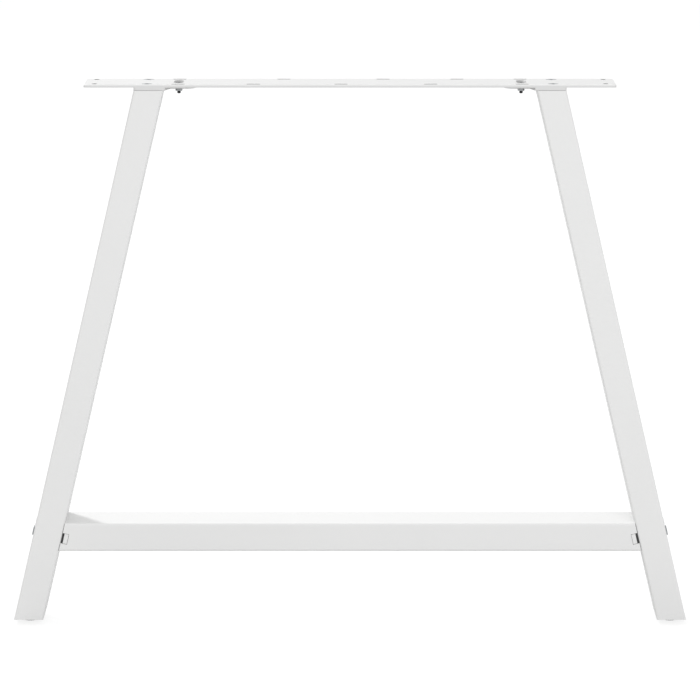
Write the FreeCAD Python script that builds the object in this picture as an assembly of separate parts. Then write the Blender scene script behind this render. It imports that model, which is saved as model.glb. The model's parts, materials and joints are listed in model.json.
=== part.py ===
import FreeCAD, Part
import math
import os

from FreeCAD import Placement, Rotation, Vector

# Table leg in the shape of a wide letter A with a flat top.
# Millimetres. +X runs across the frame, +Y to its back, +Z up.
# The origin lies on the floor, in the middle of the frame.

# Overall sizes
foot_width = 900.0        # over the lower ends of the two legs
frame_height = 720.0      # from the legs' lower ends to the top of the plate
foot_gap = 7.0            # floor to the legs' lower ends, feet screwed in
lean_deg = 13.1           # each leg against the vertical

# Rectangular tube of the legs and the cross bar
tube_face = 38.0          # side that is seen from the front
tube_depth = 76.0         # side that runs front to back
tube_wall = 1.5
tube_corner = 3.0         # outer corner radius

# Top plate
plate_length = 700.0
plate_depth = 76.0
plate_thick = 4.0
plate_corner = 5.0        # radius seen from above
plate_edge_chamfer = 1.1  # along the upper edge
corner_hole_diameter = 7.0
corner_hole_from_end = 14.0
corner_hole_from_edge = 11.0
flare_angle_deg = 90.0    # included angle of every countersink

# Slots for wood screws, one row near the front edge and one near the back
slot_length = 18.0        # over its two round ends
slot_width = 5.0
slot_from_edge = 6.5      # slot's middle line to the plate's long edge
front_slot_x = [-127.0, -12.0, 106.0]
back_slot_x = [-88.0, 44.0, 142.0]

# Screws that hold the plate to the legs
head_screw_outward = 2.2  # from the middle of the leg's top
head_screw_from_edge = 11.0
head_screw_diameter = 8.0
head_screw_top = 14.4     # diameter of the countersunk head
head_screw_length = 20.0
head_socket_width = 5.0   # across flats
head_socket_depth = 2.6

# Bolt on the tongue of each head plate, in a slot that runs front to back
tongue_bolt_inward = 38.8  # from the middle of the leg's top
tongue_bolt_diameter = 5.0
tongue_bolt_top = 10.0
tongue_bolt_tip = 15.3    # from the plate's top to the bolt's tip
tongue_socket_width = 3.0
tongue_socket_depth = 1.5
tongue_bolt_lift = 0.04   # from its seat in the flare
tongue_slot_width = 6.0
tongue_slot_length = 27.0
tongue_flare_width = 13.0

# Head plate welded on each leg
head_plate_thick = 4.0
head_plate_reach = 2.0    # past the leg's inner face, before it tapers
head_plate_taper = 6.5    # length of the taper to the tongue
head_plate_corner = 3.0
head_plate_bevel = 0.7    # along its lower edge, where the weld lies
tongue_width = 26.0
tongue_end = 22.5         # from the bolt to the tongue's tip

# Cross bar
bar_height = 94.0         # legs' lower ends to the underside of the bar
bar_face = 38.0
end_plate_thick = 2.8

# Tapped steel bar that lies across each end of the cross bar, through windows
nut_bar_thick = 5.5
nut_bar_height = 13.4     # along the leg
nut_bar_drop = 1.0        # its middle below the middle of the cross bar
nut_bar_sink = 0.3        # ends below the cross bar's front and back
window_play = 0.45        # round the nut bar

# Bolts between the bar and the legs
bar_bolt_diameter = 8.0
bar_bolt_from_edge = 10.0
bar_head_diameter = 13.0
bar_head_height = 1.8
bar_socket_width = 5.0
bar_socket_depth = 2.4     # it goes on into the shank
bar_bolt_over = 2.0       # thread that stands past the nut

# Levelling feet
base_plate_thick = 3.0
pad_diameter = 24.0
pad_height = 5.0
stem_diameter = 8.0
stem_seat = 3.5           # depth of the stem in the pad
stem_over = 14.0          # thread above the weld nut, feet screwed in

# Nuts
weld_nut_width = 13.0     # square, M8
weld_nut_height = 6.3
tongue_nut_width = 8.0    # hexagon, M5
tongue_nut_height = 4.0

# Play between parts
thread_play = 0.05        # radial, in a nut or a tapped hole
hole_play = 0.5           # radial, in a plain hole
seat_play = 0.02          # under a countersunk head
pad_play = 0.02           # radial, stem in its pad

# Values that follow from the ones above
lean = math.radians(lean_deg)
slope = math.tan(lean)
leg_bottom = foot_gap
plate_top = foot_gap + frame_height
plate_bottom = plate_top - plate_thick
leg_top = plate_bottom - head_plate_thick
tube_cut = tube_face / math.cos(lean)
leg_bottom_x = -foot_width / 2.0 + tube_cut / 2.0
bar_bottom = foot_gap + bar_height
bar_top = bar_bottom + bar_face
bar_middle = (bar_bottom + bar_top) / 2.0
leg_top_x = leg_bottom_x + slope * (leg_top - leg_bottom)
head_screw_x = -leg_top_x + head_screw_outward
head_screw_y = tube_depth / 2.0 - head_screw_from_edge
tongue_bolt_x = -leg_top_x - tongue_bolt_inward
slot_row_y = plate_depth / 2.0 - slot_from_edge
bar_bolt_y = tube_depth / 2.0 - bar_bolt_from_edge
nut_bar_middle = bar_middle - nut_bar_drop
flare_slope = math.tan(math.radians(flare_angle_deg / 2.0))
near = 1e-6               # lengths closer than this are the same
up = Vector(0, 0, 1)
leg_axis = Vector(math.sin(lean), 0, math.cos(lean))
leg_outward = Vector(-math.cos(lean), 0, math.sin(lean))

os.makedirs("parts", exist_ok=True)


def leg_x(height):
    """X of the left leg's middle line at a height."""
    return leg_bottom_x + slope * (height - leg_bottom)


def mirrored(shape):
    """The same shape on the other side of the frame."""
    return shape.mirror(Vector(0, 0, 0), Vector(1, 0, 0))


def slab(low, high):
    """A flat layer of space between two heights, wider than the frame."""
    side = 2.0 * foot_width
    return Part.makeBox(side, side, high - low, Vector(-side / 2.0, -side / 2.0, low))


def rounded_outline(width, depth, radius):
    """Wire of a rectangle with round corners, in the plane Z = 0."""
    x = width / 2.0
    y = depth / 2.0
    edges = []
    quarter_turn = 90.0
    for quarter, (sx, sy) in enumerate([(1, 1), (-1, 1), (-1, -1), (1, -1)]):
        centre = Vector(sx * (x - radius), sy * (y - radius), 0)
        start = quarter_turn * quarter
        edges.append(Part.makeCircle(radius, centre, up, start, start + quarter_turn))
    sides = []
    for first, second in zip(edges, edges[1:] + edges[:1]):
        sides.append(Part.makeLine(first.lastVertex().Point, second.firstVertex().Point))
    wires = Part.sortEdges(edges + sides)
    return Part.Wire(wires[0])


def outer_section(face_side):
    """Face of a tube's outer outline."""
    return Part.Face(rounded_outline(face_side, tube_depth, tube_corner))


def inner_section(face_side):
    """Face of the space inside a tube."""
    width = face_side - 2 * tube_wall
    depth = tube_depth - 2 * tube_wall
    return Part.makePlane(width, depth, Vector(-width / 2.0, -depth / 2.0, 0))


def screw_slot(middle_x, middle_y):
    """A solid that cuts one slot for a wood screw through the top plate."""
    reach = (slot_length - slot_width) / 2.0
    radius = slot_width / 2.0
    near_left = Vector(-reach, -radius, 0)
    near_right = Vector(reach, -radius, 0)
    far_right = Vector(reach, radius, 0)
    far_left = Vector(-reach, radius, 0)
    outline = Part.Wire([
        Part.makeLine(near_left, near_right),
        Part.Arc(near_right, Vector(reach + radius, 0, 0), far_right).toShape(),
        Part.makeLine(far_right, far_left),
        Part.Arc(far_left, Vector(-reach - radius, 0, 0), near_left).toShape(),
    ])
    slot = Part.Face(outline).extrude(up * plate_thick)
    slot.translate(Vector(middle_x, middle_y, plate_bottom))
    return slot


def hexagon(across_flats, height, base, axis=up):
    """A hexagonal prism from base along axis, with two flats that face +Y and -Y."""
    radius = across_flats / math.sqrt(3.0)
    back = Vector(0, 1, 0)
    side = axis.cross(back).normalize()
    corners = []
    for step in range(6):
        angle = math.radians(60.0 * step)
        corners.append(base + side * (radius * math.cos(angle)) + back * (radius * math.sin(angle)))
    outline = Part.makePolygon(corners + [corners[0]])
    return Part.Face(outline).extrude(axis * height)


def weld_nut(base):
    """A square M8 weld nut, its lower face at base."""
    bore = Part.makeCylinder(head_screw_diameter / 2.0 + thread_play, weld_nut_height, base)
    half = weld_nut_width / 2.0
    body = Part.makeBox(weld_nut_width, weld_nut_width, weld_nut_height,
                        base - Vector(half, half, 0))
    return body.cut(bore)


def turned(profile, base, axis):
    """Solid of revolution: (radius, height) pairs turned about axis at base."""
    points = [Vector(radius, 0, height) for radius, height in profile]
    face = Part.Face(Part.makePolygon(points + [points[0]]))
    solid = face.revolve(Vector(0, 0, 0), up, 360.0)
    solid.Placement = Placement(base, Rotation(up, axis))
    return solid


def countersunk_screw(top, diameter, head_diameter, length, socket):
    """A countersunk screw that hangs down from its head at point top."""
    head_height = (head_diameter - diameter) / 2.0 / flare_slope
    shank = diameter / 2.0
    socket_width, socket_depth = socket
    profile = [
        (0.0, 0.0),
        (head_diameter / 2.0, 0.0),
        (shank, -head_height),
        (shank, -length),
        (0.0, -length),
    ]
    body = turned(profile, top, up)
    pocket = hexagon(socket_width, socket_depth, top - up * socket_depth)
    return body.cut(pocket)


def along_leg(section):
    """A section drawn out on the left leg's middle line, past both its ends."""
    length = 2.0 * frame_height
    bar = section.extrude(up * length)
    start = Vector(leg_bottom_x, 0, leg_bottom) - leg_axis * (length / 4.0)
    bar.Placement = Placement(start, Rotation(up, leg_axis))
    return bar


def joint_middle():
    """Point on the left leg's inner face, at the middle of the nut bar."""
    return Vector(leg_x(nut_bar_middle) + tube_cut / 2.0, 0, nut_bar_middle)


def bar_bolt_points():
    """Where the left joint's bolt axes meet the leg's inner face."""
    return [joint_middle() + Vector(0, side * bar_bolt_y, 0) for side in (-1, 1)]


def joint_block(start, thick, height, depth):
    """A block parallel to the left leg, from a distance off its inner face."""
    outline = Part.makePlane(height, depth, Vector(-height / 2.0, -depth / 2.0, 0))
    block = outline.extrude(up * thick)
    inward = leg_outward * -1
    block.Placement = Placement(joint_middle() + inward * start, Rotation(up, inward))
    return block


def make_leg_tube():
    """Left leg: a leaning tube with level ends and two holes for each bar bolt."""
    outer = along_leg(outer_section(tube_face))
    inner = along_leg(inner_section(tube_face))
    leg = outer.cut(inner).common(slab(leg_bottom, leg_top))
    for point in bar_bolt_points():
        start = point - leg_outward * tube_wall
        length = tube_face + 2 * tube_wall
        radius = bar_bolt_diameter / 2.0 + hole_play
        leg = leg.cut(Part.makeCylinder(radius, length, start, leg_outward))
    return leg


def make_base_plate():
    """Steel plate welded into the lower end of the left leg, with a tapped hole."""
    plug = along_leg(inner_section(tube_face))
    plate = plug.common(slab(leg_bottom, leg_bottom + base_plate_thick))
    radius = stem_diameter / 2.0 + thread_play
    bore = Part.makeCylinder(radius, base_plate_thick, Vector(leg_bottom_x, 0, leg_bottom))
    return plate.cut(bore)


def make_base_nut():
    """Weld nut on the base plate, which gives the foot's stem its thread."""
    return weld_nut(Vector(leg_bottom_x, 0, leg_bottom + base_plate_thick))


def make_foot_pad():
    """Moulded pad of the left foot: a low disc with a blind seat for the stem."""
    radius = pad_diameter / 2.0
    seat_radius = stem_diameter / 2.0 + pad_play
    seat_floor = pad_height - stem_seat
    profile = [
        (0.0, 0.0),
        (radius, 0.0),
        (radius, pad_height),
        (seat_radius, pad_height),
        (seat_radius, seat_floor),
        (0.0, seat_floor),
    ]
    return turned(profile, Vector(leg_bottom_x, 0, 0), up)


def make_foot_stem():
    """Threaded stem of the left foot, from its seat in the pad to above the nut."""
    low = pad_height - stem_seat
    high = leg_bottom + base_plate_thick + weld_nut_height + stem_over
    return Part.makeCylinder(stem_diameter / 2.0, high - low, Vector(leg_bottom_x, 0, low))


def make_head_plate():
    """Plate welded on the left leg's top, tapering to a tongue with a round end."""
    outer_x = leg_x(leg_top) - tube_cut / 2.0
    inner_x = leg_x(leg_top) + tube_cut / 2.0 + head_plate_reach
    neck_x = inner_x + head_plate_taper
    half = tube_depth / 2.0
    tongue = tongue_width / 2.0
    end_x = -tongue_bolt_x + tongue_end - tongue
    z = leg_top
    points = [
        Vector(end_x, -tongue, z),
        Vector(neck_x, -tongue, z),
        Vector(inner_x, -half, z),
        Vector(outer_x, -half, z),
        Vector(outer_x, half, z),
        Vector(inner_x, half, z),
        Vector(neck_x, tongue, z),
        Vector(end_x, tongue, z),
    ]
    edges = [Part.makeLine(a, b) for a, b in zip(points, points[1:])]
    tip = Vector(end_x + tongue, 0, z)
    edges.append(Part.Arc(points[-1], tip, points[0]).toShape())
    plate = Part.Face(Part.Wire(edges)).extrude(up * head_plate_thick)
    corners = []
    for edge in plate.Edges:
        upright = abs(edge.Length - head_plate_thick) < near
        if upright and abs(edge.CenterOfMass.x - outer_x) < near:
            corners.append(edge)
    plate = plate.makeFillet(head_plate_corner, corners)
    welded = []
    for edge in plate.Edges:
        middle = edge.CenterOfMass
        at_side = abs(middle.y) > half - head_plate_corner + near
        at_end = abs(middle.x - outer_x) < near
        if abs(middle.z - leg_top) < near and middle.x < inner_x and (at_side or at_end):
            welded.append(edge)
    plate = plate.makeChamfer(head_plate_bevel, welded)
    for side in (-1, 1):
        hole = Part.makeCylinder(head_screw_diameter / 2.0 + hole_play, head_plate_thick,
                                 Vector(-head_screw_x, side * head_screw_y, z))
        plate = plate.cut(hole)
    bolt_hole = Part.makeCylinder(tongue_bolt_diameter / 2.0 + hole_play, head_plate_thick,
                                  Vector(-tongue_bolt_x, 0, z))
    return plate.cut(bolt_hole)


def flared_slot(middle_x):
    """A solid that cuts a countersunk slot, front to back, through the top plate."""
    flare_depth = (tongue_flare_width - tongue_slot_width) / 2.0 / flare_slope
    reach = (tongue_slot_length - tongue_slot_width) / 2.0
    radius_low = tongue_slot_width / 2.0
    radius_high = tongue_flare_width / 2.0
    low = plate_top - flare_depth
    slot = Part.makeBox(tongue_slot_width, 2 * reach, plate_thick,
                        Vector(middle_x - radius_low, -reach, plate_bottom))
    for side in (-1, 1):
        centre = Vector(middle_x, side * reach, plate_bottom)
        slot = slot.fuse(Part.makeCylinder(radius_low, plate_thick, centre))
        flare_centre = Vector(middle_x, side * reach, low)
        slot = slot.fuse(Part.makeCone(radius_low, radius_high, flare_depth, flare_centre))
    trough = [
        Vector(middle_x - radius_low, -reach, low),
        Vector(middle_x - radius_high, -reach, plate_top),
        Vector(middle_x + radius_high, -reach, plate_top),
        Vector(middle_x + radius_low, -reach, low),
    ]
    face = Part.Face(Part.makePolygon(trough + [trough[0]]))
    return slot.fuse(face.extrude(Vector(0, 2 * reach, 0)))


def make_top_plate():
    """Top plate: round corners, a chamfered upper edge, and its pattern of holes."""
    outline = rounded_outline(plate_length, plate_depth, plate_corner)
    plate = Part.Face(outline).extrude(up * plate_thick)
    plate.translate(up * plate_bottom)
    rim = [edge for edge in plate.Edges if abs(edge.CenterOfMass.z - plate_top) < near]
    plate = plate.makeChamfer(plate_edge_chamfer, rim)
    holes = []
    corner_x = plate_length / 2.0 - corner_hole_from_end
    corner_y = plate_depth / 2.0 - corner_hole_from_edge
    radius = head_screw_diameter / 2.0 + hole_play
    flare_depth = (head_screw_top - head_screw_diameter) / 2.0 / flare_slope
    for x in (-1, 1):
        for y in (-1, 1):
            corner = Vector(x * corner_x, y * corner_y, plate_bottom)
            holes.append(Part.makeCylinder(corner_hole_diameter / 2.0, plate_thick, corner))
            screw = Vector(x * head_screw_x, y * head_screw_y, plate_bottom)
            holes.append(Part.makeCylinder(radius, plate_thick, screw))
            top = Vector(screw.x, screw.y, plate_top - flare_depth)
            holes.append(Part.makeCone(head_screw_diameter / 2.0, head_screw_top / 2.0,
                                       flare_depth, top))
        holes.append(flared_slot(x * tongue_bolt_x))
    over_tongues = [-tongue_bolt_x, tongue_bolt_x]
    for row, places in ((-slot_row_y, front_slot_x), (slot_row_y, back_slot_x)):
        for x in places + over_tongues:
            holes.append(screw_slot(x, row))
    for hole in holes:
        plate = plate.cut(hole)
    return plate


def bar_length_at(height):
    """Distance between the legs' inner faces at a height."""
    return -2.0 * (leg_x(height) + tube_cut / 2.0)


def between_legs(low, high, inset=0.0):
    """All space between the legs' inner faces, less an inset at each end."""
    shift = inset / math.cos(lean)
    low_x = bar_length_at(low) / 2.0 - shift
    high_x = bar_length_at(high) / 2.0 - shift
    y = tube_depth
    corners = [
        Vector(-low_x, -y, low),
        Vector(low_x, -y, low),
        Vector(high_x, -y, high),
        Vector(-high_x, -y, high),
    ]
    face = Part.Face(Part.makePolygon(corners + [corners[0]]))
    return face.extrude(Vector(0, 2 * y, 0))


def across_frame(section):
    """A section drawn out along X at the cross bar's height, past both legs."""
    prism = section.extrude(up * foot_width)
    prism.Placement = Placement(Vector(-foot_width / 2.0, 0, bar_middle),
                                Rotation(up, Vector(1, 0, 0)))
    return prism


def make_cross_bar():
    """Cross bar: a level tube, mitred to the legs, with windows at each end."""
    outer = across_frame(outer_section(bar_face))
    inner = across_frame(inner_section(bar_face))
    bar = outer.cut(inner).common(between_legs(bar_bottom, bar_top))
    window = joint_block(0.0, end_plate_thick + nut_bar_thick + window_play,
                         nut_bar_height + 2 * window_play, 2 * tube_depth)
    return bar.cut(window).cut(mirrored(window))


def make_end_plate():
    """Plate welded in the left end of the bar, flat against the leg."""
    plug = across_frame(inner_section(bar_face))
    ends = plug.common(between_legs(bar_bottom, bar_top))
    ends = ends.cut(between_legs(bar_bottom, bar_top, end_plate_thick))
    plate = min(ends.Solids, key=lambda solid: solid.CenterOfMass.x)
    for point in bar_bolt_points():
        start = point + leg_outward * tube_wall
        radius = bar_bolt_diameter / 2.0 + hole_play
        length = end_plate_thick + 2 * tube_wall
        plate = plate.cut(Part.makeCylinder(radius, length, start, leg_outward * -1))
    return plate


def make_nut_bar():
    """Flat bar through the windows at the bar's left end, with two tapped holes."""
    depth = tube_depth - 2 * nut_bar_sink
    bar = joint_block(end_plate_thick, nut_bar_thick, nut_bar_height, depth)
    radius = bar_bolt_diameter / 2.0 + thread_play
    for point in bar_bolt_points():
        length = end_plate_thick + 2 * nut_bar_thick
        bar = bar.cut(Part.makeCylinder(radius, length, point, leg_outward * -1))
    return bar


def make_bar_bolts():
    """Two low-head bolts that pass through the left leg into the nut bar."""
    bolts = []
    shank = tube_face + end_plate_thick + nut_bar_thick + bar_bolt_over
    radius = bar_bolt_diameter / 2.0
    head_radius = bar_head_diameter / 2.0
    profile = [
        (0.0, bar_head_height),
        (head_radius, bar_head_height),
        (head_radius, 0.0),
        (radius, 0.0),
        (radius, -shank),
        (0.0, -shank),
    ]
    for point in bar_bolt_points():
        under_head = point + leg_outward * tube_face
        bolt = turned(profile, under_head, leg_outward)
        pocket_base = under_head + leg_outward * (bar_head_height - bar_socket_depth)
        pocket = hexagon(bar_socket_width, bar_socket_depth, pocket_base, leg_outward)
        bolts.append(bolt.cut(pocket))
    return bolts


def make_head_screws():
    """Two countersunk screws from the top plate into the left leg."""
    screws = []
    for side in (-1, 1):
        top = Vector(-head_screw_x, side * head_screw_y, plate_top - seat_play)
        screws.append(countersunk_screw(top, head_screw_diameter, head_screw_top - 2 * seat_play,
                                        head_screw_length,
                                        (head_socket_width, head_socket_depth)))
    return screws


def make_head_nuts():
    """Two weld nuts under the left head plate, inside the tube."""
    base_z = leg_top - weld_nut_height
    return [weld_nut(Vector(-head_screw_x, side * head_screw_y, base_z)) for side in (-1, 1)]


def make_tongue_bolt():
    """Small countersunk bolt that draws the left tongue to the top plate."""
    sink = (tongue_flare_width - tongue_bolt_top) / 2.0 / flare_slope
    top = Vector(-tongue_bolt_x, 0, plate_top - sink + tongue_bolt_lift)
    length = tongue_bolt_tip - (plate_top - top.z)
    return countersunk_screw(top, tongue_bolt_diameter, tongue_bolt_top, length,
                             (tongue_socket_width, tongue_socket_depth))


def make_tongue_nut():
    """Hexagon nut on the tongue bolt, under the tongue."""
    base = Vector(-tongue_bolt_x, 0, leg_top - tongue_nut_height)
    body = hexagon(tongue_nut_width, tongue_nut_height, base)
    radius = tongue_bolt_diameter / 2.0 + thread_play
    return body.cut(Part.makeCylinder(radius, tongue_nut_height, base))


def save(name, shape):
    """Write one named piece, or one group of like pieces, to its own file."""
    shape.exportStep("parts/" + name + ".step")
    print(name, len(shape.Solids), round(shape.Volume, 1), shape.isValid())


def save_pair(name, shape):
    """Write a piece of the left side and its mirror image on the right."""
    save("left_" + name, shape)
    save("right_" + name, mirrored(shape))


def save_group(name, left_pieces):
    """Write like fasteners of both sides as one group of separate solids."""
    pieces = left_pieces + [mirrored(piece) for piece in left_pieces]
    save(name, Part.makeCompound(pieces))


save("top_plate", make_top_plate())
save("cross_bar", make_cross_bar())
save_pair("leg_tube", make_leg_tube())
save_pair("head_plate", make_head_plate())
save_pair("bar_end_plate", make_end_plate())
save_pair("nut_bar", make_nut_bar())
save_pair("base_plate", make_base_plate())
save_pair("foot_pad", make_foot_pad())
save_pair("foot_stem", make_foot_stem())
save_group("head_screws", make_head_screws())
save_group("head_weld_nuts", make_head_nuts())
save_group("base_nuts", [make_base_nut()])
save_group("tongue_bolts", [make_tongue_bolt()])
save_group("tongue_nuts", [make_tongue_nut()])
save_group("bar_bolts", make_bar_bolts())
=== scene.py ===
# %% [markdown]
# # A wide A-shaped table leg, finished in white powder coat
# The real object is a bolted steel frame: two leaning tubes, a slotted plate on top, a cross bar
# near the floor and two screw-in feet. Its construction comes in as a finished model, and this
# file gives each surface its finish, models the threads and welds, and sets the light and camera.
# Everything is in metres, with +X across the frame, +Y to its back and +Z up.

import json
import math

import bpy
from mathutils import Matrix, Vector


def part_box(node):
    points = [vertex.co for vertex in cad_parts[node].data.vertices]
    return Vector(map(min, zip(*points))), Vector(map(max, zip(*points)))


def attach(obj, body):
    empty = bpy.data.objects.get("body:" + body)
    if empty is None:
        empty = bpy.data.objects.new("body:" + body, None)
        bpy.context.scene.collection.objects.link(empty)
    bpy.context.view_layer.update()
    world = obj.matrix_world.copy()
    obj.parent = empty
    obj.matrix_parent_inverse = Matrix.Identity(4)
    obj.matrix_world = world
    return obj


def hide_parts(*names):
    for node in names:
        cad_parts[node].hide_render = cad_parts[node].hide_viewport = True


MM = 0.001
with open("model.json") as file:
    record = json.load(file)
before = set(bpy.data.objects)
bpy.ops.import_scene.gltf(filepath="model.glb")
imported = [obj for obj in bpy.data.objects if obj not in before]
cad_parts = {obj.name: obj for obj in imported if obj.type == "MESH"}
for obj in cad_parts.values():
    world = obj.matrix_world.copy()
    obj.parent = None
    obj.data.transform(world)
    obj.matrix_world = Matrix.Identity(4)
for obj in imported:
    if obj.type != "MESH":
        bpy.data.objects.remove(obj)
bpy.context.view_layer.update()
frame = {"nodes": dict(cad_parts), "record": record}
nodes = frame["nodes"]

# %% [markdown]
# ## Camera
# The photograph looks at the frame square from the front and a little from above: the tops of
# the plate and the bar show as thin bands, and the legs' inner sides as narrow strips. A long
# lens from far away keeps the perspective weak. The camera tilts down instead of shifting a lot,
# because a large shift would push the object out of the picture in the other views.

# %% Camera
CAMERA_PLACE = Vector((0.0, -5.396, 1.300))
CAMERA_TILT = math.radians(8.83)
LENS_MM = 211.0
FRAME_SHIFT = -0.10
FAR_LIMIT = 200.0

camera_data = bpy.data.cameras.new("photo_camera")
camera_data.lens = LENS_MM
camera_data.shift_y = FRAME_SHIFT
camera_data.clip_end = FAR_LIMIT
camera = bpy.data.objects.new("photo_camera", camera_data)
camera.location = CAMERA_PLACE
camera.rotation_euler = (math.pi / 2 - CAMERA_TILT, 0, 0)
bpy.context.scene.collection.objects.link(camera)
bpy.context.scene.camera = camera
bpy.context.scene.view_settings.view_transform = "Standard"
print("camera at", tuple(round(v, 3) for v in camera.location))

# %% [markdown]
# ## Small helpers for materials
# A material is a small graph of nodes. These helpers make a new one and add nodes to it, so that
# each finish below reads as a list of what it is made of.

# %% Material helpers
def new_material(name):
    """An empty node material with its shader and output joined."""
    material = bpy.data.materials.new(name)
    material.use_nodes = True
    tree = material.node_tree
    tree.nodes.clear()
    shader = tree.nodes.new("ShaderNodeBsdfPrincipled")
    output = tree.nodes.new("ShaderNodeOutputMaterial")
    tree.links.new(shader.outputs["BSDF"], output.inputs["Surface"])
    return material, tree, shader


def grey(value):
    """A neutral colour."""
    return (value, value, value, 1.0)


def place_coordinates(tree):
    """Object coordinates, in metres, which stay on the piece when it moves."""
    return tree.nodes.new("ShaderNodeTexCoord").outputs["Object"]


def noise(tree, coordinates, scale, detail=2.0, roughness=0.5):
    """Soft random values from 0 to 1, with `scale` features to the metre."""
    node = tree.nodes.new("ShaderNodeTexNoise")
    node.inputs["Scale"].default_value = scale
    node.inputs["Detail"].default_value = detail
    node.inputs["Roughness"].default_value = roughness
    tree.links.new(coordinates, node.inputs["Vector"])
    return node.outputs["Fac"]


def spread(tree, value, low, high):
    """Values from 0 to 1, stretched to run from low to high."""
    node = tree.nodes.new("ShaderNodeMapRange")
    node.inputs["To Min"].default_value = low
    node.inputs["To Max"].default_value = high
    tree.links.new(value, node.inputs["Value"])
    return node.outputs["Result"]


def blend_colours(tree, value, first, second):
    """A colour between two, by a value from 0 to 1. Each may be a colour or a node's output."""
    node = tree.nodes.new("ShaderNodeMix")
    node.data_type = "RGBA"
    colour_sockets = [socket for socket in node.inputs if socket.type == "RGBA"]
    for socket, colour in zip(colour_sockets, (first, second)):
        if isinstance(colour, tuple):
            socket.default_value = colour
        else:
            tree.links.new(colour, socket)
    tree.links.new(value, node.inputs["Factor"])
    return [socket for socket in node.outputs if socket.type == "RGBA"][0]


def calculate(tree, operation, first, second=0.0):
    """One step of arithmetic. Each value may be a number or a node's output."""
    node = tree.nodes.new("ShaderNodeMath")
    node.operation = operation
    for socket, value in zip(node.inputs, (first, second)):
        if isinstance(value, float):
            socket.default_value = value
        else:
            tree.links.new(value, socket)
    return node.outputs[0]


def bump(tree, shader, height, depth_mm, strength):
    """Relief of a real depth, from a height between 0 and 1."""
    node = tree.nodes.new("ShaderNodeBump")
    node.inputs["Strength"].default_value = strength
    node.inputs["Distance"].default_value = depth_mm * MM
    tree.links.new(height, node.inputs["Height"])
    tree.links.new(node.outputs["Normal"], shader.inputs["Normal"])


print("material helpers ready")

# %% [markdown]
# ## Painted shade in recesses, and a painted edge highlight
# Holes, gaps and inner corners get painted shade: their colour is blended towards grey. Such
# places could be painted by hand, but an occlusion value finds them by itself: it tells how much
# of a point's surroundings is free. The top plate has more to tell apart: painted shade on its
# hole walls and on the flares round its bolts, and a painted highlight on its outer edge. A face's
# place and the way it faces are enough to tell those from its flats.

# %% Painted shade and highlight
GAP_SAMPLES = 8
PLATE_RIM = 3.5 * MM
FLAT_LIMIT = 0.95
STEEP_LIMIT = 0.3


def recess(tree, reach, low, high):
    """0 deep in a hole or gap and 1 on open faces, from how much of the surroundings is free."""
    node = tree.nodes.new("ShaderNodeAmbientOcclusion")
    node.samples = GAP_SAMPLES
    node.inputs["Distance"].default_value = reach
    limit = tree.nodes.new("ShaderNodeMapRange")
    limit.inputs["From Min"].default_value = low
    limit.inputs["From Max"].default_value = high
    tree.links.new(node.outputs["AO"], limit.inputs["Value"])
    return limit.outputs["Result"]


def plate_shade_and_highlight_masks(tree, where):
    """Masks of the top plate for painted shade and a painted highlight: its flares and hole walls,
    the walls alone, and its upper outer edge.
    """
    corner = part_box("top_plate")[1]
    place = tree.nodes.new("ShaderNodeSeparateXYZ")
    tree.links.new(where, place.inputs[0])
    facing = tree.nodes.new("ShaderNodeSeparateXYZ")
    tree.links.new(tree.nodes.new("ShaderNodeTexCoord").outputs["Normal"], facing.inputs[0])
    beyond = []
    for axis in (0, 1):
        off_middle = calculate(tree, "ABSOLUTE", place.outputs[axis])
        beyond.append(calculate(tree, "GREATER_THAN", off_middle, corner[axis] - PLATE_RIM))
    outer = calculate(tree, "MAXIMUM", *beyond)
    inner = calculate(tree, "SUBTRACT", 1.0, outer)
    flatness = calculate(tree, "ABSOLUTE", facing.outputs[2])
    sloping = calculate(tree, "LESS_THAN", flatness, FLAT_LIMIT)
    steep = calculate(tree, "LESS_THAN", flatness, STEEP_LIMIT)
    upward = calculate(tree, "GREATER_THAN", facing.outputs[2], STEEP_LIMIT)
    # flares and walls carry painted shade, edge carries a painted highlight
    flares = calculate(tree, "MULTIPLY", sloping, inner)
    walls = calculate(tree, "MULTIPLY", steep, inner)
    edge = calculate(tree, "MULTIPLY", calculate(tree, "MULTIPLY", sloping, outer), upward)
    return flares, walls, edge


print("masks ready for thin and full places")

# %% [markdown]
# ## White powder coat
# Powder coat is melted on, so it is smooth in the large but has a faint orange-peel ripple about
# a millimetre across, with a half-gloss skin. Three noises do that: a fine one for the ripple,
# and two wider ones that shift the tone and the gloss by a hair. The plates get a darker copy of
# the tubes' white as painted shade, so there are two whites. The top plate has the second of
# them, with painted shade in its holes and a painted highlight on its edge.

# %% Powder coat
TUBE_TONES = ((0.800, 0.800, 0.796, 1.0), (0.775, 0.776, 0.773, 1.0))
# painted shade: the plates' white is the tubes' white made darker, so that their faces read darker
SHADED_PLATE_TONES = ((0.700, 0.700, 0.697, 1.0), (0.678, 0.679, 0.676, 1.0))
# painted shade: recesses, holes and gaps are blended towards this grey
PAINTED_RECESS_SHADE = grey(0.30)
# painted shade on the top plate's flares and hole walls
PAINTED_FLARE_SHADE = grey(0.40)
PAINTED_HOLE_SHADE = grey(0.10)
# painted highlight on the top plate's upper outer edge
PAINTED_EDGE_HIGHLIGHT = (0.86, 0.86, 0.857, 1.0)
HOLE_REACH = 3.0 * MM
TUBE_OPENNESS = (0.05, 0.45)
PLATE_OPENNESS = (0.15, 0.75)
COAT_ROUGHNESS = (0.40, 0.50)
COAT_SPECULAR = 0.45


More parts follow.
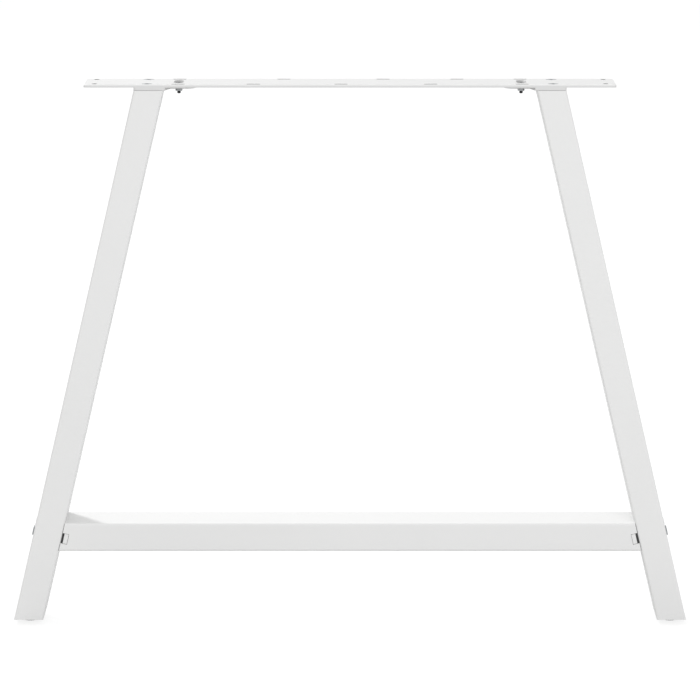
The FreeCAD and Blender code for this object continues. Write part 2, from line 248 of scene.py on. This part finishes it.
def make_powder_coat(name, tones, openness, with_painted_shade_and_highlight=False):
    """Half-gloss white paint with an orange-peel ripple, and painted shade in its recesses."""
    material, tree, shader = new_material(name)
    where = place_coordinates(tree)
    tone = blend_colours(tree, noise(tree, where, scale=9.0, detail=3.0), *tones)
    # painted shade on flares and hole walls, painted highlight on the outer edge
    if with_painted_shade_and_highlight:
        for mask, coat in zip(plate_shade_and_highlight_masks(tree, where), (PAINTED_FLARE_SHADE, PAINTED_HOLE_SHADE, PAINTED_EDGE_HIGHLIGHT)):
            tone = blend_colours(tree, mask, tone, coat)
    # painted shade: the colour darkens towards a grey where the occlusion value is low
    colour = blend_colours(tree, recess(tree, HOLE_REACH, *openness), PAINTED_RECESS_SHADE, tone)
    tree.links.new(colour, shader.inputs["Base Color"])
    roughness = spread(tree, noise(tree, where, scale=60.0), *COAT_ROUGHNESS)
    tree.links.new(roughness, shader.inputs["Roughness"])
    shader.inputs["Specular IOR Level"].default_value = COAT_SPECULAR
    peel = noise(tree, where, scale=900.0, detail=3.0, roughness=0.6)
    bump(tree, shader, peel, depth_mm=0.03, strength=0.5)
    return material


tube_coat = make_powder_coat("white_tube_coat", TUBE_TONES, TUBE_OPENNESS)
shaded_plate_coat = make_powder_coat("white_plate_coat_painted_shade", SHADED_PLATE_TONES, PLATE_OPENNESS)
shaded_top_plate_coat = make_powder_coat("white_top_plate_coat_painted_shade_and_highlight", SHADED_PLATE_TONES, PLATE_OPENNESS,
                                  with_painted_shade_and_highlight=True)
print("made", tube_coat.name, shaded_plate_coat.name, shaded_top_plate_coat.name)

# %% [markdown]
# ## Zinc plate in three colours, and black electrocoat
# Bright zinc is a metal with a pale, slightly blue colour that the plating bath leaves a little
# cloudy. The screws and nuts that show are duller and greyer, and the tongue bolts are black
# zinc. One function makes all three, because only their tones and gloss differ. Electrocoat is
# a thin black paint, so it isn't a metal.

# %% Metal finishes
BRIGHT_TONES = ((0.66, 0.67, 0.69, 1.0), (0.53, 0.54, 0.56, 1.0))
GREY_TONES = ((0.38, 0.39, 0.40, 1.0), (0.28, 0.29, 0.30, 1.0))
BLACK_TONES = ((0.060, 0.060, 0.064, 1.0), (0.035, 0.035, 0.038, 1.0))
ELECTROCOAT_TONES = ((0.016, 0.016, 0.017, 1.0), (0.030, 0.030, 0.031, 1.0))


def make_plated(name, tones, roughness):
    """A plated metal with a fine cloudiness in its colour and its gloss."""
    material, tree, shader = new_material(name)
    where = place_coordinates(tree)
    clouds = noise(tree, where, scale=450.0, detail=4.0, roughness=0.65)
    tree.links.new(blend_colours(tree, clouds, *tones), shader.inputs["Base Color"])
    gloss = spread(tree, noise(tree, where, scale=1500.0), *roughness)
    tree.links.new(gloss, shader.inputs["Roughness"])
    shader.inputs["Metallic"].default_value = 1.0
    bump(tree, shader, noise(tree, where, scale=2600.0), depth_mm=0.01, strength=0.5)
    return material


def make_electrocoat():
    """Thin black paint over pressed steel."""
    material, tree, shader = new_material("black_electrocoat")
    where = place_coordinates(tree)
    wear = noise(tree, where, scale=300.0, detail=4.0, roughness=0.6)
    tree.links.new(blend_colours(tree, wear, *ELECTROCOAT_TONES), shader.inputs["Base Color"])
    tree.links.new(spread(tree, wear, low=0.42, high=0.58), shader.inputs["Roughness"])
    bump(tree, shader, noise(tree, where, scale=1800.0, detail=3.0), depth_mm=0.02, strength=0.4)
    return material


bright_zinc = make_plated("bright_zinc", BRIGHT_TONES, roughness=(0.28, 0.42))
black_zinc = make_plated("black_zinc", BLACK_TONES, roughness=(0.34, 0.50))
grey_zinc = make_plated("grey_zinc", GREY_TONES, roughness=(0.34, 0.48))
electrocoat = make_electrocoat()
print("made", bright_zinc.name, grey_zinc.name, black_zinc.name, electrocoat.name)

# %% [markdown]
# ## Moulded foot plastic
# The pads under the legs are moulded in dark grey plastic with a fine spark-eroded grain, which
# makes them matt. The grain is a dense noise used as relief, and the floor has scuffed them a
# little, so their tone is uneven.

# %% Foot plastic
FOOT_TONES = ((0.085, 0.085, 0.088, 1.0), (0.12, 0.12, 0.123, 1.0))


def make_foot_plastic():
    """Dark grey plastic with a fine grain."""
    material, tree, shader = new_material("grey_foot_plastic")
    where = place_coordinates(tree)
    scuffs = noise(tree, where, scale=220.0, detail=4.0, roughness=0.6)
    tree.links.new(blend_colours(tree, scuffs, *FOOT_TONES), shader.inputs["Base Color"])
    tree.links.new(spread(tree, scuffs, low=0.55, high=0.72), shader.inputs["Roughness"])
    grain = noise(tree, where, scale=3800.0, roughness=0.7)
    bump(tree, shader, grain, depth_mm=0.04, strength=0.6)
    return material


foot_plastic = make_foot_plastic()
print("made", foot_plastic.name)

# %% [markdown]
# ## Finishes onto the model
# Each node of the model has one material slot, named in its record. A table from slot to finish
# dresses most of them, a short second one gives the plates the darker white of painted shade, and
# no shape is touched.

# %% Dress the nodes
FINISH_OF_SLOT = {
    "powder_coat": tube_coat,
    "zinc": bright_zinc,
    "black_steel": black_zinc,
    "black_coat": electrocoat,
    "foot_plastic": foot_plastic,
}
SHADED_PLATE_FINISHES = {
    "left_head_plate": shaded_plate_coat,
    "right_head_plate": shaded_plate_coat,
    "top_plate": shaded_top_plate_coat,
}
slot_of_node = {part["node"]: part["material_slot"] for part in frame["record"]["subparts"]}

for name, piece in nodes.items():
    finish = SHADED_PLATE_FINISHES.get(name, FINISH_OF_SLOT[slot_of_node[name]])
    if not piece.material_slots:
        piece.data.materials.append(finish)
    for slot in piece.material_slots:
        slot.material = finish
print("dressed", len(nodes), "nodes")

# %% [markdown]
# ## Turned pieces from rings
# Screws, bolts and stems are turned parts. They could be made by spinning a profile, but then a
# hexagon socket or a thread would be hard to add. Here each one is a stack of rings of points
# about its axis, joined by quads and closed at both ends. A ring's radius may change with the
# angle, which gives a hexagon its six sides.

# %% Rings
RING_POINTS = 48
UP = Vector((0, 0, 1))


def circle(radius, height):
    """A plain ring: radius and height for every angle."""
    return [(radius, height)] * RING_POINTS


def hexagon(across_flats, height, widest=math.inf):
    """A six-sided ring, its corners cut back to a circle of radius widest."""
    ring = []
    sixth = math.pi / 3
    for step in range(RING_POINTS):
        off_corner = (2 * math.pi * step / RING_POINTS) % sixth - sixth / 2
        ring.append((min(across_flats / 2 / math.cos(off_corner), widest), height))
    return ring


def mesh_object(name, points, faces):
    """A new object in the scene from its points and faces."""
    mesh = bpy.data.meshes.new(name)
    mesh.from_pydata(points, [], faces)
    mesh.validate()
    piece = bpy.data.objects.new(name, mesh)
    bpy.context.scene.collection.objects.link(piece)
    return piece


def ring_points(rings, foot, axis):
    """Points of all the rings, with their heights measured from foot along an axis."""
    turn = UP.rotation_difference(axis)
    points = []
    for ring in rings:
        for step, (radius, height) in enumerate(ring):
            angle = 2 * math.pi * step / RING_POINTS
            local = Vector((radius * math.cos(angle), radius * math.sin(angle), height))
            points.append(foot + turn @ local)
    return points


def quads_between(row, next_row):
    """Faces that join one ring to another, by the rings' places in their list."""
    faces = []
    for step in range(RING_POINTS):
        beside = (step + 1) % RING_POINTS
        faces.append((row * RING_POINTS + beside, row * RING_POINTS + step,
                      next_row * RING_POINTS + step, next_row * RING_POINTS + beside))
    return faces


def ring_stack(name, rings, foot, axis=UP):
    """Mesh object of rings listed from the upper end down, closed at both ends."""
    last = len(rings) - 1
    faces = [face for row in range(last) for face in quads_between(row, row + 1)]
    faces.append(tuple(range(RING_POINTS)))
    faces.append(tuple(last * RING_POINTS + step for step in reversed(range(RING_POINTS))))
    return mesh_object(name, ring_points(rings, foot, axis), faces)


print("rings ready,", RING_POINTS, "points to a ring")

# %% [markdown]
# ## Screw threads
# A thread is a groove that climbs one pitch in each turn. Cutting it out of a rod would leave a
# ragged mesh. With rings it needs no cut: each point's radius follows both its angle and its
# height, so that crest and root climb as they do on a real screw. The end is chamfered, as a
# screw's is, so that it starts easily.

# %% Thread rings
CREST_SHARE = 0.125
ROOT_SHARE = 0.25
FLANK_SHARE = (1 - CREST_SHARE - ROOT_SHARE) / 2
DEPTH_SHARE = 0.58
RINGS_PER_PITCH = 8


def groove(phase):
    """How deep the groove is, from 0 at the crest to 1 at the root, along one pitch."""
    if phase < CREST_SHARE:
        return 0.0
    if phase < CREST_SHARE + FLANK_SHARE:
        return (phase - CREST_SHARE) / FLANK_SHARE
    if phase < CREST_SHARE + FLANK_SHARE + ROOT_SHARE:
        return 1.0
    return 1 - (phase - CREST_SHARE - FLANK_SHARE - ROOT_SHARE) / FLANK_SHARE


def thread_rings(radius, pitch, top, bottom, point):
    """Rings of a screw thread from top down to bottom, with a chamfered end."""
    depth = DEPTH_SHARE * pitch
    steps = round(RINGS_PER_PITCH * (top - bottom) / pitch)
    rings = []
    for step in range(steps + 1):
        height = top + (bottom - top) * step / steps
        limit = radius - max(0.0, point - (height - bottom))
        ring = []
        for turn in range(RING_POINTS):
            phase = (height / pitch - turn / RING_POINTS) % 1.0
            ring.append((min(radius - depth * groove(phase), limit), height))
        rings.append(ring)
    return rings


print("threads ready,", RINGS_PER_PITCH, "rings to a pitch")

# %% [markdown]
# ## New pieces in the place of plain ones
# The model holds each fastener as a plain solid of the right size. A new piece takes its place
# and size from that solid's corners, rides on the same body, and hides the solid it replaces, so
# that nothing has to be fitted by eye and the piece follows every pose.

# %% Fit and finish a piece
SHARP_ANGLE = math.radians(32)


def finish_piece(piece, material, slot_name, body, *replaced):
    """Give a new piece its finish and smooth shading, and hang it on a body."""
    piece.data.materials.append(material)
    for polygon in piece.data.polygons:
        polygon.use_smooth = True
    piece.data.set_sharp_from_angle(angle=SHARP_ANGLE)
    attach(piece, body)
    if replaced:
        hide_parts(*replaced)
    return piece


def box_on_side(node, side_x, side_y=0):
    """Corners of the part of a node that lies on one side, or in one quarter, of the frame."""
    places = [v.co for v in nodes[node].data.vertices
              if v.co.x * side_x > 0 and v.co.y * side_y >= 0]
    low = Vector([min(p[axis] for p in places) for axis in range(3)])
    high = Vector([max(p[axis] for p in places) for axis in range(3)])
    return low, high


def middle_at(low, high, height):
    """The point in the middle of a box, seen from above, at a given height."""
    return Vector(((low.x + high.x) / 2, (low.y + high.y) / 2, height))


print("ready to fit new pieces")

# %% [markdown]
# ## Stems of the levelling feet
# Each foot has an M8 stem, pressed into the pad and screwed up into a nut in the leg. The stem
# shows when the foot is screwed out, so its thread is real geometry at its true pitch of 1.25 mm.

# %% Foot stems
M8_PITCH = 1.25 * MM
STEM_POINT = 0.6 * MM
STEM_CHAMFER = 1.0 * MM


def make_foot_stem(side):
    """Threaded stem in the place and size of the model's plain one."""
    node = side + "_foot_stem"
    low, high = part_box(node)
    radius = (high.x - low.x) / 2
    rings = thread_rings(radius, M8_PITCH, high.z - low.z, 0.0, STEM_POINT)
    rings[0] = [(min(r, radius - STEM_CHAMFER), height) for r, height in rings[0]]
    stem = ring_stack(side + "_stem_thread", rings, middle_at(low, high, low.z))
    return finish_piece(stem, bright_zinc, "zinc", side + "_foot", node)


for side in ("left", "right"):
    stem = make_foot_stem(side)
    print(stem.name, len(stem.data.polygons), "faces")

# %% [markdown]
# ## Pads of the levelling feet
# A foot pad is moulded: a disc with softly rounded edges, a shallow hollow underneath, and a top
# that rises a little to a low collar round the stem. The collar has a draft, so that it leaves
# the mould. Rings give all of that in one closed mesh, and each rounding is a few rings close
# together, which keeps a rim from looking like cut card. The collar's form is a list of pairs:
# how far a ring lies outside the stem, and how far below the pad's top.

# %% Foot pads
EDGE_STEPS = 4
HOLLOW_DEPTH = 0.35 * MM
HOLLOW_MARGIN = 2.2 * MM
HOLLOW_SLOPE = 0.4 * MM
HOLLOW_CENTRE_SHARE = 0.4
LOWER_ROUNDING = 0.8 * MM
UPPER_ROUNDING = 1.0 * MM
COLLAR_HEIGHT = 0.9 * MM
COLLAR_FORM_MM = ((3.0, 0.75), (2.5, 0.55), (2.3, 0.15), (2.1, 0.0), (0.3, 0.0), (-0.2, 0.3))


def rounded_edge(radius, height, rounding, up_side):
    """Rings round an edge: in from the side to a top, or out from an underside to the side."""
    rings = []
    for step in range(EDGE_STEPS + 1):
        turn = math.pi / 2 * step / EDGE_STEPS
        if up_side:
            out = math.cos(turn)
            lift = rounding * (math.sin(turn) - 1)
        else:
            out = math.sin(turn)
            lift = rounding * (1 - math.cos(turn))
        rings.append(circle(radius - rounding + rounding * out, height + lift))
    return rings


def make_foot_pad(side):
    """Moulded pad in the place and size of the model's plain disc."""
    node = side + "_foot_pad"
    low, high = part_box(node)
    radius = (high.x - low.x) / 2
    top = high.z - low.z
    stem_low, stem_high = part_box(side + "_foot_stem")
    stem_radius = (stem_high.x - stem_low.x) / 2
    rings = [
        circle(radius * HOLLOW_CENTRE_SHARE, HOLLOW_DEPTH),
        circle(radius - HOLLOW_MARGIN - HOLLOW_SLOPE, HOLLOW_DEPTH),
        circle(radius - HOLLOW_MARGIN, 0.0),
    ]
    rings += rounded_edge(radius, 0.0, LOWER_ROUNDING, up_side=False)
    rings += rounded_edge(radius, top - COLLAR_HEIGHT, UPPER_ROUNDING, up_side=True)
    rings += [circle(stem_radius + out * MM, top - down * MM) for out, down in COLLAR_FORM_MM]
    pad = ring_stack(side + "_pad", rings[::-1], middle_at(low, high, low.z))
    return finish_piece(pad, foot_plastic, "foot_plastic", side + "_foot", node)


for side in ("left", "right"):
    pad = make_foot_pad(side)
    print(pad.name, len(pad.data.polygons), "faces")

# %% [markdown]
# ## Countersunk screws and bolts in the top plate
# Four M8 screws hold the plate to the legs, and two small black M5 bolts hold the tongues. Both
# kinds have a cone under the head and a hexagon socket in it. One list of rings makes each: the
# socket's drilled bottom and wall, the flat head, the cone, and then the thread down to the point.

# %% Countersunk screws
M5_PITCH = 0.8 * MM
DRILL_RADIUS_SHARE = 0.2
DRILL_DEPTH_SHARE = 0.1
COUNTERSUNK_LIP = 0.15 * MM
NECK_SHARE = 0.1
SIDES = (("left", -1), ("right", 1))
ENDS = (("front", -1), ("back", 1))


def socket_rings(socket, lip):
    """Rings of a hexagon socket, from its drilled bottom up to its chamfered lip at height 0."""
    width, depth = socket
    return [
        circle(DRILL_RADIUS_SHARE * width, -depth - DRILL_DEPTH_SHARE * width),
        hexagon(width, -depth),
        hexagon(width, -lip),
        hexagon(width + 2 * lip, 0.0),
    ]


def countersunk_rings(head_radius, radius, length, socket, pitch):
    """Rings of a countersunk screw whose head's top is at height 0."""
    cone = head_radius - radius
    rings = socket_rings(socket, COUNTERSUNK_LIP) + [
        circle(head_radius - COUNTERSUNK_LIP, 0.0),
        circle(head_radius, -COUNTERSUNK_LIP),
        circle(radius + NECK_SHARE * cone, -cone),
    ]
    return rings + thread_rings(radius, pitch, -cone - COUNTERSUNK_LIP, -length, point=pitch)


def make_countersunk(name, kind, side_x, side_y=0):
    """One screw of a group, in the place and size of the model's plain one."""
    node, material, slot_name, diameter, socket, pitch = kind
    low, high = box_on_side(node, side_x, side_y)
    head_radius = (high.x - low.x) / 2
    rings = countersunk_rings(head_radius, diameter / 2, high.z - low.z, socket, pitch)
    screw = ring_stack(name, rings, middle_at(low, high, high.z))
    return finish_piece(screw, material, slot_name, "frame", node)


M8_SCREW = ("head_screws", grey_zinc, "zinc", 8.0 * MM, (5.0 * MM, 2.6 * MM), M8_PITCH)
M5_BOLT = ("tongue_bolts", black_zinc, "black_steel", 5.0 * MM, (3.0 * MM, 1.5 * MM), M5_PITCH)

for side, side_x in SIDES:
    bolt = make_countersunk(side + "_tongue_bolt", M5_BOLT, side_x)
    print(bolt.name, len(bolt.data.polygons), "faces")
    for end, side_y in ENDS:
        screw = make_countersunk(side + "_" + end + "_head_screw", M8_SCREW, side_x, side_y)
        print(screw.name, len(screw.data.polygons), "faces")

# %% [markdown]
# ## Nuts under the tongues
# The small nut under each tongue hangs in plain sight between the legs' tops. Its corners are
# chamfered at both faces, because nuts are turned before they are tapped, and its bore widens at
# the mouth. Here the rings form a closed loop: down the outside and up through the bore.

# %% Tongue nuts
NUT_CHAMFER = 0.45 * MM
CORNER_CUT = 0.1 * MM
BORE_RADIUS = 2.5 * MM
BORE_MOUTH = 0.35 * MM


def ring_loop(name, rings, foot):
    """Mesh object of rings whose last one joins the first, so that a bore stays open."""
    rows = len(rings)
    faces = [face for row in range(rows) for face in quads_between(row, (row + 1) % rows)]
    return mesh_object(name, ring_points(rings, foot, UP), faces)


def make_tongue_nut(side, side_x):
    """Hexagon nut in the place and size of the model's plain one."""
    low, high = box_on_side("tongue_nuts", side_x)
    tall = high.z - low.z
    flats = high.y - low.y
    corner = flats / math.sqrt(3)
    rings = [
        circle(BORE_RADIUS + BORE_MOUTH, tall),
        circle(flats / 2 - CORNER_CUT, tall),
        hexagon(flats, tall - NUT_CHAMFER / 3, flats / 2 + CORNER_CUT),
        hexagon(flats, tall - NUT_CHAMFER, corner),
        hexagon(flats, NUT_CHAMFER, corner),
        hexagon(flats, NUT_CHAMFER / 3, flats / 2 + CORNER_CUT),
        circle(flats / 2 - CORNER_CUT, 0.0),
        circle(BORE_RADIUS + BORE_MOUTH, 0.0),
        circle(BORE_RADIUS, BORE_MOUTH),
        circle(BORE_RADIUS, tall - BORE_MOUTH),
    ]
    nut = ring_loop(side + "_tongue_nut", rings, middle_at(low, high, low.z))
    return finish_piece(nut, grey_zinc, "zinc", "frame", "tongue_nuts")


for side, side_x in SIDES:
    nut = make_tongue_nut(side, side_x)
    print(nut.name, len(nut.data.polygons), "faces")

# %% [markdown]
# ## Low-head bolts of the cross bar
# From outside, two bolts on each side go through the leg into the bar. Their heads are low discs
# with a rounded rim and a hexagon socket, square to the leaning leg. The rings are stacked as
# before, and the whole stack is then turned onto the leg's own outward direction.

# %% Bar bolts
LEG_LEAN = math.radians(13.1)
HEAD_RADIUS = 6.5 * MM
HEAD_HEIGHT = 1.8 * MM
HEAD_RIM = 0.7 * MM
HEAD_CHAMFER = 0.05 * MM
BOLT_SOCKET = (5.0 * MM, 1.6 * MM)
BOLT_LIP = 0.2 * MM
BOLT_RADIUS = 4.0 * MM
BOLT_POINT = 0.8 * MM
CROWN_BAND = 0.05 * MM


def bolt_line(side_x, side_y):
    """Crown, direction and length of one of the model's plain bar bolts."""
    axis = Vector((side_x * math.cos(LEG_LEAN), 0, math.sin(LEG_LEAN)))
    places = [v.co for v in nodes["bar_bolts"].data.vertices
              if v.co.x * side_x > 0 and v.co.y * side_y > 0]
    reach = max(place.dot(axis) for place in places)
    crown = [place for place in places if reach - place.dot(axis) < CROWN_BAND]
    middle = sum(crown, Vector()) / len(crown)
    return middle, axis, reach - min(place.dot(axis) for place in places)


def low_head_rings(length):
    """Rings of a low-head bolt whose crown is at height 0."""
    rings = socket_rings(BOLT_SOCKET, BOLT_LIP)
    rings += reversed(rounded_edge(HEAD_RADIUS, 0.0, HEAD_RIM, up_side=True))
    rings += [
        circle(HEAD_RADIUS, -HEAD_HEIGHT + HEAD_CHAMFER),
        circle(HEAD_RADIUS - HEAD_CHAMFER, -HEAD_HEIGHT),
        circle(BOLT_RADIUS, -HEAD_HEIGHT),
    ]
    thread_top = -HEAD_HEIGHT - BOLT_LIP
    return rings + thread_rings(BOLT_RADIUS, M8_PITCH, thread_top, -length, BOLT_POINT)


for side, side_x in SIDES:
    for end, side_y in ENDS:
        crown, axis, length = bolt_line(side_x, side_y)
        bolt = ring_stack(side + "_" + end + "_bar_bolt", low_head_rings(length), crown, axis)
        finish_piece(bolt, grey_zinc, "zinc", "frame", "bar_bolts")
        print(bolt.name, len(bolt.data.polygons), "faces")

# %% [markdown]
# ## Welds under the head plates
# Each head plate is welded on its leg. On three sides the plate is flush and the weld is ground
# away, but in the inner corner it stays: a small fillet with a rounded face and the fine ripples
# of a weld pool that moved in steps. It is swept along the corner, and painted with the frame.

# %% Weld beads
BEAD_SIZE = 2.0 * MM
BEAD_INSET = 9.0 * MM
RIPPLE_PITCH = 1.4 * MM
RIPPLE_SHARE = 0.12
STATIONS_PER_RIPPLE = 6
SECTION_STEPS = 6
FLATTENING = 0.22
TIP_SHARE = 0.35


def bead_section(corner, side_x, size):
    """The corner, then points of the bead's face from the head plate round to the tube."""
    sweep = math.pi / 2 + LEG_LEAN
    points = [corner]
    for step in range(SECTION_STEPS + 1):
        angle = -sweep * step / SECTION_STEPS
        belly = size * (1 - FLATTENING * math.sin(math.pi * step / SECTION_STEPS))
        across = -side_x * belly * math.cos(angle)
        points.append(corner + Vector((across, 0, belly * math.sin(angle))))
    return points


def make_weld(side, side_x):
    """Bead in the inner corner between a leg's tube and its head plate."""
    low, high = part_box(side + "_leg_tube")
    inner_x = high.x if side_x < 0 else low.x
    length = high.y - low.y - 2 * BEAD_INSET
    stations = round(length / RIPPLE_PITCH * STATIONS_PER_RIPPLE)
    points, faces = [], []
    for station in range(stations + 1):
        along = length * station / stations
        fade = min(1.0, along / BEAD_SIZE, (length - along) / BEAD_SIZE)
        ripple = 1 + RIPPLE_SHARE * abs(math.sin(math.pi * along / RIPPLE_PITCH))
        size = BEAD_SIZE * ripple * (TIP_SHARE + (1 - TIP_SHARE) * math.sqrt(fade))
        corner = Vector((inner_x, low.y + BEAD_INSET + along, high.z))
        points += bead_section(corner, side_x, size)
    around = SECTION_STEPS + 2
    for station in range(stations):
        for step in range(around):
            a = station * around + step
            b = station * around + (step + 1) % around
            faces.append((a, b, b + around, a + around))
    faces.append(tuple(reversed(range(around))))
    faces.append(tuple(stations * around + step for step in range(around)))
    weld = mesh_object(side + "_weld_bead", points, faces)
    return finish_piece(weld, tube_coat, "powder_coat", "frame")


for side, side_x in SIDES:
    weld = make_weld(side, side_x)
    print(weld.name, len(weld.data.polygons), "faces")

# %% [markdown]
# ## Floor and background
# The photograph has a plain white ground. The floor here is a large plane: to the camera, also
# by way of a reflection, it is mostly a white that shines by itself, with a share of true paint
# left in, so that the soft shadow under the feet still shows. All other light meets ordinary
# pale paint. The background is made the same way: white to the camera, and an even grey light to
# everything else.

# %% Floor and world
FLOOR_HALF = 40.0
FLOOR_DROP = 0.2 * MM
FLOOR_PAINT = grey(0.62)
SEEN_PAINT = grey(0.22)
FLOOR_SHINE = 0.84
AMBIENT = grey(0.72)
WHITE = grey(1.0)


def show_by_ray(tree, unseen, seen, output_type):
    """One shader for rays from the camera, mirrored and clear ones too, and one for the rest."""
    ray = tree.nodes.new("ShaderNodeLightPath").outputs
    direct = calculate(tree, "MAXIMUM", ray["Is Camera Ray"], ray["Is Glossy Ray"])
    from_camera = calculate(tree, "MAXIMUM", direct, ray["Is Transmission Ray"])
    choose = tree.nodes.new("ShaderNodeMixShader")
    tree.links.new(from_camera, choose.inputs["Fac"])
    tree.links.new(unseen.outputs[0], choose.inputs[1])
    tree.links.new(seen.outputs[0], choose.inputs[2])
    output = tree.nodes.new(output_type)
    tree.links.new(choose.outputs[0], output.inputs["Surface"])


def make_floor_material():
    """Pale paint that the camera sees as a white ground with soft shadows."""
    material = bpy.data.materials.new("pale_floor")
    material.use_nodes = True
    tree = material.node_tree
    tree.nodes.clear()
    paint = tree.nodes.new("ShaderNodeBsdfDiffuse")
    paint.inputs["Color"].default_value = FLOOR_PAINT
    seen_paint = tree.nodes.new("ShaderNodeBsdfDiffuse")
    seen_paint.inputs["Color"].default_value = SEEN_PAINT
    shine = tree.nodes.new("ShaderNodeEmission")
    shine.inputs["Strength"].default_value = FLOOR_SHINE
    seen = tree.nodes.new("ShaderNodeAddShader")
    tree.links.new(seen_paint.outputs[0], seen.inputs[0])
    tree.links.new(shine.outputs[0], seen.inputs[1])
    show_by_ray(tree, paint, seen, "ShaderNodeOutputMaterial")
    return material


def make_floor():
    """A wide level plane just under the feet."""
    corners = [(sx * FLOOR_HALF, sy * FLOOR_HALF, -FLOOR_DROP)
               for sx, sy in ((-1, -1), (1, -1), (1, 1), (-1, 1))]
    floor = mesh_object("floor", corners, [(0, 1, 2, 3)])
    floor.data.materials.append(make_floor_material())


def make_world():
    """White where the camera looks, and an even grey light everywhere else."""
    world = bpy.data.worlds.new("white_room")
    bpy.context.scene.world = world
    world.use_nodes = True
    tree = world.node_tree
    tree.nodes.clear()
    light = tree.nodes.new("ShaderNodeBackground")
    light.inputs["Color"].default_value = AMBIENT
    seen = tree.nodes.new("ShaderNodeBackground")
    seen.inputs["Color"].default_value = WHITE
    show_by_ray(tree, light, seen, "ShaderNodeOutputWorld")


make_floor()
make_world()
print("floor and background made")

# %% [markdown]
# ## Studio light
# The plate's and the bar's tops are the lightest faces, and the left leg throws a soft shadow on
# the bar's top, so the main lamp is high, to the left and behind the frame. It is rather small,
# which keeps that shadow's shape. A broad, weaker lamp in front keeps the front faces an even
# pale grey. Area lamps give soft edges, as a softbox does. The front lamp is left out of
# reflections, or the flat tops would flare white when seen from behind.

# %% Lamps
LAMP_TARGET = Vector((0.0, 0.0, 0.4))


def make_lamp(name, place, size, watts):
    """A square area lamp that faces the middle of the frame."""
    data = bpy.data.lights.new(name, "AREA")
    data.shape = "SQUARE"
    data.size = size
    data.energy = watts
    lamp = bpy.data.objects.new(name, data)
    lamp.location = place
    lamp.rotation_euler = (LAMP_TARGET - Vector(place)).to_track_quat("-Z", "Y").to_euler()
    bpy.context.scene.collection.objects.link(lamp)
    return lamp


key_lamp = make_lamp("key_softbox", place=(-2.5, 4.6, 5.2), size=0.7, watts=240.0)
front_lamp = make_lamp("front_softbox", place=(1.0, -4.6, 2.4), size=3.0, watts=92.0)
front_lamp.visible_glossy = False
print("lamps:", key_lamp.name, front_lamp.name)
